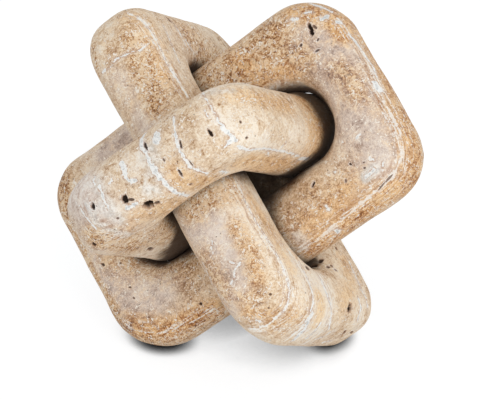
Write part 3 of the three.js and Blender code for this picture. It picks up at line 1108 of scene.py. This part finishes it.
def swells(points, node, sight):
    """How far each point stands out from its node, and how little it is worn there."""
    height = np.zeros(len(points))
    kept = np.zeros(len(points))
    others = [tree for other, tree in sight.trees.items() if other != node]
    for made in SWELLS.values():
        if made.node != node:
            continue
        path = [stone_place(parts) for parts in made.path]
        near = fading(distance_to_path(points, path), made.radius * MM)
        kept = np.maximum(kept, near)
        for index in np.flatnonzero(near > LEAST_SWELL):
            gap = min(tree.find_nearest(Vector(points[index]))[3] for tree in others)
            free = max(gap - LEAST_GAP, 0.0) * made.share
            height[index] = max(height[index], min(made.height * MM * near[index], free))
    return height, kept


def mark(mesh, node, sight, fills):
    """Writes onto a link's points where its stains, painted shade and fills are, and how its beds
    rise.
    """
    points = mesh_points(mesh)
    values = {
        kind: strongest(points, paths_on(sight, node, zones)) for kind, zones in ZONES.items()
    }
    values["fill"] = np.full(len(points), FAR_MM)
    for fill, path in fills:
        edge = distance_to_path(points, path) / MM - fill.half_width
        values["fill"] = np.minimum(values["fill"], edge)
    values["lift"], values["vein"] = bed_marks(points, paths_on(sight, node, BED_LINES))
    values["swell"], values["kept"] = swells(points, node, sight)
    for name, value in values.items():
        layer = mesh.attributes.new(name, "FLOAT", "POINT")
        layer.data.foreach_set("value", value)


class Stone:
    """What the shader reads: places in the stone's own axes, in millimetres, the noises
    there, and the shares of oxide, blush and ochre.
    """

    def __init__(self, tree, bias, palette):
        self.tree = tree
        self.palette = palette
        place = tree.add("ShaderNodeTexCoord", output="Object")
        local = tree.vector("SCALE", tree.vector("SUBTRACT", place, knot_middle()), 1 / MM)
        parts = {
            index: tree.vector("DOT_PRODUCT", local, axis, "Value")
            for index, axis in enumerate(stone_axes())
        }
        self.length, self.width, self.height = parts.values()
        self.place = tree.add("ShaderNodeCombineXYZ", None, parts)
        for name, settings in NOISES.items():
            setattr(self, name, self.noise(*settings))
        self.beds = tree.noise(self.squashed(9, 2.4, 3.2), 1.0, 3, 0.6)
        self.laminae = tree.noise(self.squashed(6, 1.0, 3.2), 1.0, 2, 0.6)

        self.spots = swing(self.patches, 0.8) + swing(self.mottle, 0.6)
        stains = self.spots + swing(self.laminae, 0.4) + swing(self.crumbs, 0.45)
        cloudy = swing(self.clouds, 0.5) + swing(self.patches, 0.4)
        self.oxide = (self.mark("oxide") + bias["oxide"] + stains).rise(0.1, 0.9)
        self.blush = (self.mark("blush") + bias["blush"] + cloudy).rise(0.05, 0.8)
        self.ochre = (self.mark("ochre") + bias["ochre"] + self.spots).rise(0.1, 0.8)

    def noise(self, size, detail=2.0, roughness=0.5, distortion=0.0):
        """Noise with lumps of about a size in millimetres, around 0.5."""
        return self.tree.noise(self.place, 1 / size, detail, roughness, distortion)

    def squashed(self, along, across, sway):
        """Places for noise drawn out along the beds: sizes along and across them."""
        swayed = swing(self.noise(22, 2), sway) + swing(self.noise(5, 2), sway * 0.3)
        parts = {
            0: self.length / along,
            1: self.width / along,
            2: (self.height + swayed) / across,
        }
        return self.tree.add("ShaderNodeCombineXYZ", None, parts)

    def mark(self, name):
        return self.tree.add("ShaderNodeAttribute", {"attribute_name": name}, None, "Fac")

    def coat(self, under, share, paint, blend="MIX"):
        """A colour with a share of one of the palette's laid over it."""
        return self.tree.mix(share, under, self.palette[paint], blend)

    def between(self, share, first, second):
        """A colour between two of the palette's."""
        return self.tree.mix(share, self.palette[first], self.palette[second])


def ground(stone, mean_tone):
    """The colour of the bare stone, by its tone: neutral, pink or rusty."""
    fine = (
        swing(stone.mottle, 0.75)
        + swing(stone.crumbs.rise(0.36, 0.64), 0.34)
        + swing(stone.grain.rise(0.35, 0.65), 0.2)
    )
    layered = swing(stone.beds, 0.6) + swing(stone.laminae, 0.5)
    broad = swing(stone.clouds, 0.45) + swing(stone.patches, 0.85)
    contrast = stone.oxide * 0.7 - stone.blush * 0.15 + 0.58
    tone = (fine + layered) * contrast + broad + mean_tone + stone.mark("cream") * 0.17
    tree = stone.tree
    plain = tree.mix(stone.blush, tree.ramp(tone, TONES, NEUTRAL), tree.ramp(tone, TONES, BLUSHED))
    return tree.mix(stone.oxide, plain, tree.ramp(tone, TONES, RUSTED))


def stained(stone, under):
    """Adds pale lumps, brown worms, the ochre tint and the grey haze. Also gives the worms."""
    lumps = stone.noise(4.0, 3, 0.6, 0.8)
    over = stone.coat(under, lumps.rise(0.52, 0.56) * stone.oxide * 0.7, "lump")
    worms = abs(lumps - 0.5).rise(0.022, 0.006) * (stone.oxide * 0.6 + stone.ochre * 0.2 + 0.06)
    over = stone.coat(over, worms, "rust")
    over = stone.coat(over, stone.ochre * 0.62, "ochre", "MULTIPLY")
    haze = (stone.mark("ash") + stone.spots).rise(0.15, 0.7) * 0.75
    ashes = stone.between(stone.mottle.rise(0.4, 0.6), "ash", "calcite")
    return stone.tree.mix(haze, over, ashes), worms


def flecked(stone, under):
    """Adds small pale flecks with rusty rims. Also gives the flecks."""
    crowded = stone.noise(9, 2).rise(0.42, 0.6) * 0.04 + stone.oxide * 0.02
    flecks = stone.noise(2.0, 2, 0.6, 1.3) + crowded
    over = stone.coat(under, flecks.rise(0.6, 0.63) * 0.45, "rust")
    chips = flecks.rise(0.635, 0.655)
    return stone.coat(over, chips * 0.92, "fleck"), chips


def bedded(stone, under):
    """Adds the white beds where they show, the fine layers beside them, and their rusty
    lines. Also gives the white beds.
    """
    wobble = swing(stone.noise(4.5, 3, 0.65), 2.4) + swing(stone.crumbs, 1.5)
    height = stone.height - stone.mark("lift") + wobble
    thicker = swing(stone.noise(5, 3, 0.65), 3.6)
    white = 0.0
    rusty = 0.0
    for bed in BEDS:
        edge = abs(height - bed.height) - thicker
        band = edge.rise(bed.half_thickness + 0.2, bed.half_thickness - 0.15)
        white = (band * bed.strength).most(white)
        front = abs(height - (bed.height - RUST_LEAD_MM)) - thicker
        rusty = front.rise(0.7, 0.2).most(rusty)
    near = stone.mark("vein")
    broken = stone.noise(4, 3, 0.7).rise(0.36, 0.5) * 0.6 + 0.38
    layered = near.rise(0.04, 0.4).most(stone.mark("layers"))
    layers = stone.tree.noise(stone.squashed(15, 0.7, 1.8), 1.0, 2, 0.6)
    pale = layers.rise(0.56, 0.62) * layered * stone.crumbs.rise(0.35, 0.55) * 0.8
    dark = layers.rise(0.45, 0.37) * layered * 0.45
    beside = near.rise(0.1, 0.5) * stone.mottle.rise(0.42, 0.56) * 0.55
    over = stone.coat(under, (rusty * beside).most(dark), "rust")
    white = (white * near.rise(0.35, 0.7) * broken).most(pale)
    cream = stone.between(stone.crumbs.rise(0.4, 0.6), "fleck", "calcite")
    return stone.tree.mix(white, over, cream), white


def filled(stone, under):
    """Adds the calcite fills, each with a pale halo and a rusty outline. Also gives them."""
    edge = stone.mark("fill")
    ragged = swing(stone.noise(3.2, 3, 0.65), 3.0) + swing(stone.noise(1.5, 3, 0.75, 0.6), 3.0)
    over = stone.coat(under, (edge + ragged * 1.6).rise(2.2, 0.4) * 0.3, "fleck")
    fill_edge = edge + ragged
    outline = fill_edge.rise(1.0, 0.45) * stone.mottle.rise(0.45, 0.55) * 0.6
    over = stone.coat(over, outline, "rust")
    calcite = fill_edge.rise(0.15, -0.15) * (stone.crumbs.rise(0.3, 0.45) * 0.2 + 0.78)
    inside = edge.rise(0.1, -0.9) * 0.6 + 0.12
    streaks = stone.noise(2.1, 3, 0.65, 0.6).rise(0.46, 0.6) * inside
    return stone.tree.mix(calcite, over, stone.between(streaks, "calcite", "ash")), calcite


def micro_pits(stone):
    """Sparse dark specks, well under a millimetre wide."""
    inputs = {"Vector": stone.place, "Scale": 0.36, "Randomness": 1.0}
    cells = stone.tree.node("ShaderNodeTexVoronoi", {"feature": "F1"}, inputs)
    distance = Socket(stone.tree, cells.outputs["Distance"])
    cell_colour = Socket(stone.tree, cells.outputs["Color"])
    lot = stone.tree.add("ShaderNodeSeparateColor", None, {0: cell_colour})
    return distance.rise(0.15, 0.06) * lot.rise(0.8, 0.86)


def pitted(stone, under):
    """Adds the pits with their white and rusty rims, and painted shade inside them, darker in
    deeper pits. Also gives that shade and the specks.
    """
    reach = stone.mark("pit_reach")
    rim = reach.rise(1.9, 1.25) * stone.mark("pit_rim") * stone.crumbs.rise(0.36, 0.52)
    over = stone.coat(under, rim * 0.85, "calcite")
    over = stone.coat(over, reach.rise(1.4, 1.1) * 0.5, "rust")
    specks = micro_pits(stone)
    shade = (reach.rise(1.12, 0.8) * stone.mark("pit_dark")).most(specks * 0.75)
    return stone.coat(over, shade, "hollow"), shade, specks


def travertine(name, bias, colours):
    """The stone's material. bias holds how much of each stain a link has all over."""
    material = bpy.data.materials.new(name)
    tree = empty_tree(material)
    palette = {key: (*getattr(colours, key), 1.0) for key in StoneColours.__annotations__}
    stone = Stone(tree, bias, palette)
    shown, worms = stained(stone, ground(stone, bias["tone"]))
    shown, chips = flecked(stone, shown)
    shown, white = bedded(stone, shown)
    shown, calcite = filled(stone, shown)
    shown, shade, specks = pitted(stone, shown)
    # Painted shade: a dark brown laid on where other stone shuts a point in, and in the
    # painted-shade zones
    shut_in = stone.mark("crevice") + stone.mark("grime") + swing(stone.mottle, 0.2)
    grime = shut_in.rise(0.56, 0.88) * 0.94
    shown = stone.coat(shown, grime, "grime")

    relief = stone.grain * 0.3 + stone.crumbs * 0.5 + stone.mottle * 0.4 + chips * 0.2
    height = relief - specks * 1.6 - worms * 0.4
    bump_inputs = {"Strength": 0.6, "Distance": 0.5 * MM, "Height": height}
    bump = tree.add("ShaderNodeBump", None, bump_inputs)
    smooth = calcite.most(white)
    roughness = (stone.crumbs * 0.3 + 0.5 - smooth * 0.12 + shade * 0.3 + grime * 0.2).clamp()
    shader_inputs = {"Base Color": shown, "Roughness": roughness, "Normal": bump}
    shader_inputs["Specular IOR Level"] = 0.35
    shader = tree.add("ShaderNodeBsdfPrincipled", None, shader_inputs)
    tree.node("ShaderNodeOutputMaterial", None, {"Surface": shader})
    return material


def even_out(piece, wear, material):
    """Gives a piece an even grid of points without the frame's facets."""
    remesh = piece.modifiers.new("Even grid", "REMESH")
    remesh.mode = "VOXEL"
    remesh.voxel_size = wear.grid
    group = bpy.data.node_groups.get("Even surface") or evening_tree()
    use_tree(piece, group, {"Passes": wear.evening, "Material": material})
    make_plain(piece)


def weather(piece, node, wear, material):
    """Marks a piece's points, then wears it down and sinks its pits."""
    sight = Sight()
    sight.trees[node] = mesh_tree(piece.data)
    bedding = stone_axes()[2]
    seed = SEED + list(SLOTS).index(node)
    pits = seen_pits(sight, node)
    pits += hidden_pits(piece.data, wear.hidden_pits, bedding, seed)
    fills = paths_on(sight, node, FILLS)
    lines = [(fill.half_width * MM, path) for fill, path in fills]
    refine(piece.data, pits, lines, wear.pit_margin)
    mark(piece.data, node, sight, fills)

    cloud = pit_cloud(node + "_pits", pits)
    solids = joined_solids()
    group = bpy.data.node_groups.get("Weathered stone") or weathering_tree()
    values = {
        "Pits": cloud,
        "Solids": solids,
        "Wear depth": wear.depth,
        "Wear span": wear.span,
        "Bed relief": wear.relief,
        "Bedding": bedding,
        "Floor rise": FLOOR_RISE,
        "Seed": float(seed),
        "Material": material,
    }
    use_tree(piece, group, values)
    make_plain(piece)
    for helper in (cloud, solids):
        bpy.data.objects.remove(helper)


class KNOT_OT_carve_link(bpy.types.Operator):
    """Carve one link of the knot in place of its frame node"""

    bl_idname = "knot.carve_link"
    bl_label = "Carve link"
    node: bpy.props.StringProperty(name="Node", description="The link's frame node", default=FACE)

    def execute(self, context):
        wear = context.scene.knot_wear
        name = SLOTS[self.node] + "_stone"
        material = travertine(name, BIASES[self.node], context.scene.knot_colours)
        piece = bpy.data.objects.new(self.node + "_stone", join_copy(self.node))
        context.collection.objects.link(piece)
        even_out(piece, wear, material)
        weather(piece, self.node, wear, material)
        piece.data.shade_smooth()
        if len(piece.data.polygons) == 0:
            raise RuntimeError(f"{self.node} came out empty")
        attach(piece, BODY)
        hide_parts(self.node)
        return {"FINISHED"}


def seen_share(tree):
    """1 for rays that show a surface to the camera, also in a reflection, and 0 for light."""
    path = tree.node("ShaderNodeLightPath")
    rays = [Socket(tree, path.outputs[name]) for name in SEEN_RAYS]
    return rays[0].most(rays[1]).most(rays[2])


def stage_material():
    """A floor that shows as white, with the knot's shadow from the lamps and a painted shadow
    close under it.
    """
    material = bpy.data.materials.new("studio_floor")
    tree = empty_tree(material)
    seen = seen_share(tree)
    settings = {"samples": NOOK_SAMPLES}
    # Painted shadow: to the camera, the floor's colour and glow darken where stone close by hides
    # the sky
    clear = 1.0
    for reach, span in PAINTED_SHADOW_REACHES.items():
        nook = tree.add("ShaderNodeAmbientOcclusion", settings, {"Distance": reach}, "AO")
        clear = nook.rise(*span) * clear
    shown = seen * (clear * SEEN_FLOOR_COLOUR - FLOOR_COLOUR) + FLOOR_COLOUR
    matte = tree.add("ShaderNodeBsdfDiffuse", None, {"Color": shown})
    inputs = {"Color": SEEN_FLOOR_GLOW, "Strength": seen * clear}
    glow = tree.add("ShaderNodeEmission", None, inputs)
    both = tree.add("ShaderNodeAddShader", None, {0: matte, 1: glow})
    tree.node("ShaderNodeOutputMaterial", None, {"Surface": both})
    return material


def studio_world(strength):
    """Light from all round at a strength, which the camera sees as white."""
    world = bpy.data.worlds.new("studio")
    tree = empty_tree(world)
    level = seen_share(tree) * (1.0 - strength) + strength
    white = tree.add("ShaderNodeBackground", None, {"Color": (1, 1, 1, 1), "Strength": level})
    tree.node("ShaderNodeOutputWorld", None, {"Surface": white})
    return world


def area_lamp(name, place, watts):
    lamp = bpy.data.lights.new(name, "AREA")
    lamp.shape = "DISK"
    lamp.size = LAMP_SIDE
    lamp.energy = watts
    holder = bpy.data.objects.new(name, lamp)
    holder.location = place
    toward = Vector(LAMP_AIM) - Vector(place)
    holder.rotation_euler = toward.to_track_quat("-Z", "Y").to_euler()
    bpy.context.collection.objects.link(holder)


class KNOT_OT_set_stage(bpy.types.Operator):
    """Set the floor, the lamps and the camera around the knot"""

    bl_idname = "knot.set_stage"
    bl_label = "Set stage"

    def execute(self, context):
        stage = context.scene.knot_stage
        half = stage.floor / 2
        mesh = bpy.data.meshes.new("studio_floor")
        corners = [(-half, -half, 0), (half, -half, 0), (half, half, 0), (-half, half, 0)]
        mesh.from_pydata(corners, [], [(0, 1, 2, 3)])
        mesh.materials.append(stage_material())
        floor = bpy.data.objects.new("studio_floor", mesh)
        context.collection.objects.link(floor)
        context.scene.world = studio_world(stage.sky)
        for name, place in LAMP_PLACES.items():
            area_lamp(name, place, getattr(stage, name))

        lens = bpy.data.cameras.new("camera")
        lens.sensor_width = SENSOR / MM
        lens.lens = LENS / MM
        lens.clip_start = CLIP_START
        camera = bpy.data.objects.new("camera", lens)
        camera.matrix_world = Matrix.Translation(CAMERA_PLACE) @ camera_turn().to_4x4()
        context.collection.objects.link(camera)
        context.scene.camera = camera
        context.scene.view_settings.view_transform = "Standard"
        return {"FINISHED"}


class KNOT_PT_panel(bpy.types.Panel):
    """Buttons and settings for the travertine knot"""

    bl_label = "Travertine knot"
    bl_space_type = "VIEW_3D"
    bl_region_type = "UI"
    bl_category = "Travertine knot"

    def draw(self, context):
        for node in SLOTS:
            self.layout.operator(KNOT_OT_carve_link.bl_idname, text="Carve " + node).node = node
        self.layout.operator(KNOT_OT_set_stage.bl_idname)
        for key in GROUPS:
            settings = getattr(context.scene, key)
            for name in type(settings).__annotations__:
                self.layout.prop(settings, name)


GROUPS = {"knot_wear": StoneWear, "knot_colours": StoneColours, "knot_stage": StageSettings}
CLASSES = (*GROUPS.values(), KNOT_OT_carve_link, KNOT_OT_set_stage, KNOT_PT_panel)


def register():
    for item in CLASSES:
        bpy.utils.register_class(item)
    for name, group in GROUPS.items():
        setattr(bpy.types.Scene, name, bpy.props.PointerProperty(type=group))


def unregister():
    for name in GROUPS:
        delattr(bpy.types.Scene, name)
    for item in reversed(CLASSES):
        bpy.utils.unregister_class(item)


def main():
    register()
    bpy.ops.knot.set_stage()
    for node in SLOTS:
        bpy.ops.knot.carve_link(node=node)


if __name__ == "__main__":
    main()
